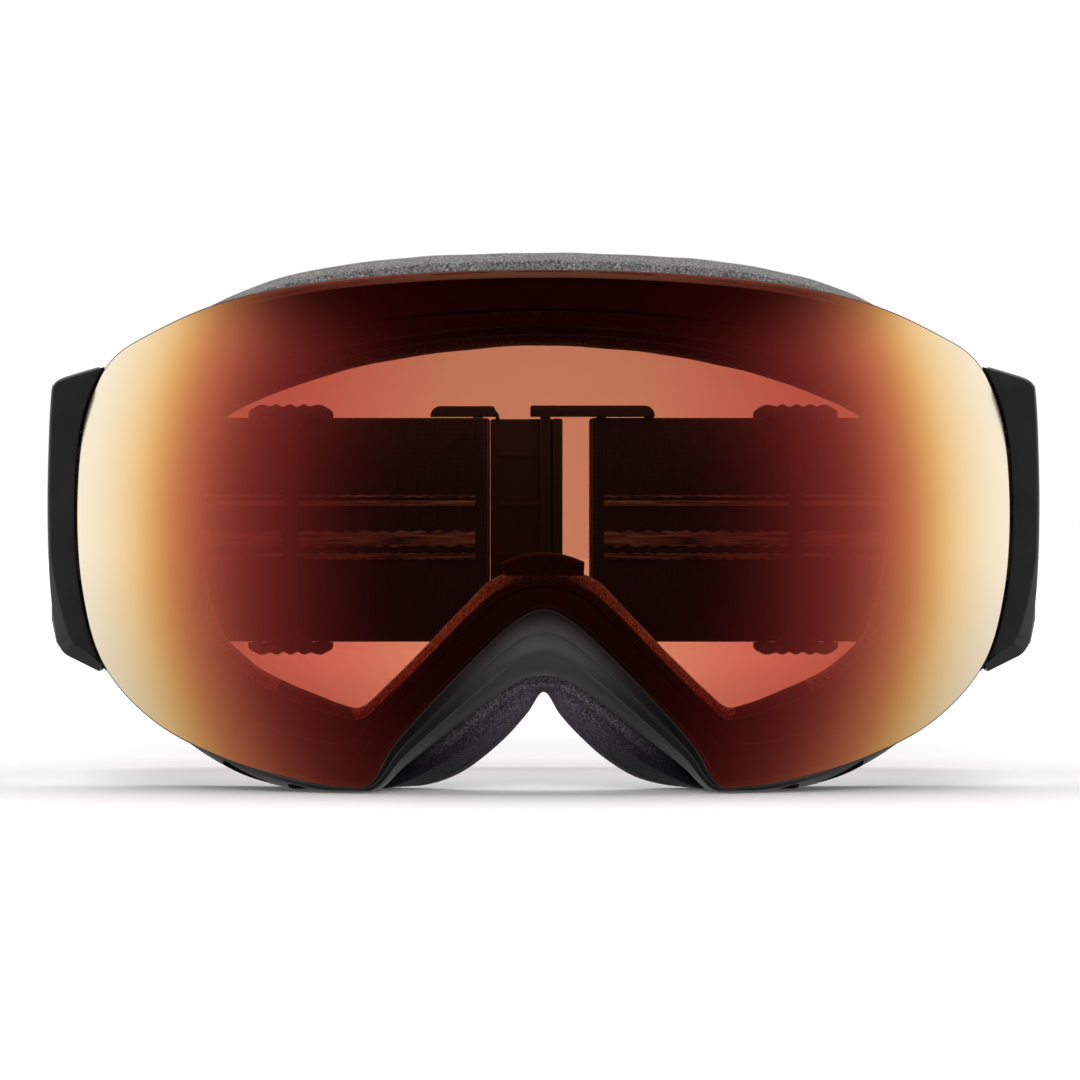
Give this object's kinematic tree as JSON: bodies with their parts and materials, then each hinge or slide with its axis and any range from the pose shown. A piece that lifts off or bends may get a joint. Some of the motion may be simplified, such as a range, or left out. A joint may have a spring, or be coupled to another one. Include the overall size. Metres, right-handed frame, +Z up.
{
  "type": "ski goggles",
  "caption": "Ski goggles with a magnetic mirrored spherical double lens, layered face foam, pivoting outriggers and an elastic strap with sliders and a hook clip.",
  "frame": {"origin": "on the surface the goggles stand on, under the middle of their box", "axes": "+X to the right as seen from the front, +Y from the lens towards the strap at the back, +Z up"},
  "size_m": [0.1834, 0.175, 0.0976],
  "materials": {
    "mirror_lens": "mirror coated, gold to red gradient",
    "inner_lens": "clear, pale tint",
    "gasket_foam": "closed-cell foam",
    "carrier_plastic": "satin black",
    "magnet": "nickel plated",
    "soft_frame": "soft matt thermoplastic rubber",
    "face_foam": "open-cell foam",
    "fleece": "heather grey microfleece",
    "vent_foam": "reticulated foam",
    "hard_plastic": "satin black",
    "lever_plastic": "satin dark grey",
    "outrigger_plastic": "satin black",
    "pin_steel": "turned steel",
    "strap_webbing": "woven elastic",
    "grip_silicone": "printed silicone",
    "buckle_plastic": "satin black acetal"
  },
  "bodies": {
    "frame": {"frame_body": "soft_frame", "frame_magnets": "magnet", "nose_bridge_pad": "soft_frame", "foam_base": "face_foam", "foam_middle": "face_foam", "face_fleece": "fleece", "vent_foam_top": "vent_foam", "vent_foam_bottom": "vent_foam", "temple_plate_left": "hard_plastic", "temple_plate_right": "hard_plastic", "lever_pin_left": "pin_steel", "lever_pin_right": "pin_steel", "lever_spring_left": "pin_steel", "lever_spring_right": "pin_steel", "outrigger_pins_left": "pin_steel", "outrigger_pins_right": "pin_steel", "strap_left": "strap_webbing", "strap_right": "strap_webbing", "strap_tail_left": "strap_webbing", "strap_tail_right": "strap_webbing", "grip_strip_left": "grip_silicone", "grip_strip_right": "grip_silicone", "buckle_ring": "buckle_plastic"},
    "lens": {"outer_lens": "mirror_lens", "lens_gasket": "gasket_foam", "inner_lens": "inner_lens", "lens_carrier": "carrier_plastic", "carrier_magnets": "magnet"},
    "lever_left": {"release_lever_left": "lever_plastic"},
    "lever_right": {"release_lever_right": "lever_plastic"},
    "arm_left": {"outrigger_left": "outrigger_plastic", "strap_loop_left": "strap_webbing"},
    "arm_right": {"outrigger_right": "outrigger_plastic", "strap_loop_right": "strap_webbing"},
    "adjuster_left": {"slider_left": "buckle_plastic"},
    "adjuster_right": {"slider_right": "buckle_plastic"},
    "clip_hook": {"buckle_hook": "buckle_plastic"}
  },
  "joints": [
    {"name": "lens_release", "type": "slide", "parent": "frame", "child": "lens", "axis": [0, -1, 0], "range_m": [0, 0.04]},
    {"name": "left_lever_press", "type": "hinge", "parent": "frame", "child": "lever_left", "pos_m": [-0.0855, -0.03933, 0.05], "axis": [-1, 0, 0], "range_deg": [0, 6], "stiffness_Nm_per_rad": 0.02, "deforming": ["lever_spring_left"]},
    {"name": "right_lever_press", "type": "hinge", "parent": "frame", "child": "lever_right", "pos_m": [0.0855, -0.03933, 0.05], "axis": [-1, 0, 0], "range_deg": [0, 6], "stiffness_Nm_per_rad": 0.02, "deforming": ["lever_spring_right"]},
    {"name": "left_outrigger_swing", "type": "hinge", "parent": "frame", "child": "arm_left", "pos_m": [-0.0872, -0.03053, 0.05], "axis": [0, 0, 1], "range_deg": [-8, 15]},
    {"name": "right_outrigger_swing", "type": "hinge", "parent": "frame", "child": "arm_right", "pos_m": [0.0872, -0.03053, 0.05], "axis": [0, 0, -1], "range_deg": [-8, 15]},
    {"name": "left_slider_travel", "type": "slide", "parent": "frame", "child": "adjuster_left", "axis": [1, 0, 0], "range_m": [0, 0.015], "deforming": ["strap_tail_left"]},
    {"name": "right_slider_travel", "type": "slide", "parent": "frame", "child": "adjuster_right", "axis": [-1, 0, 0], "range_m": [0, 0.015], "deforming": ["strap_tail_right"]},
    {"name": "clip_unhook", "type": "hinge", "parent": "frame", "child": "clip_hook", "pos_m": [-0.01315, 0.08294, 0.04719], "axis": [0, 0.0262, 0.9997], "range_deg": [0, 70]}
  ]
}
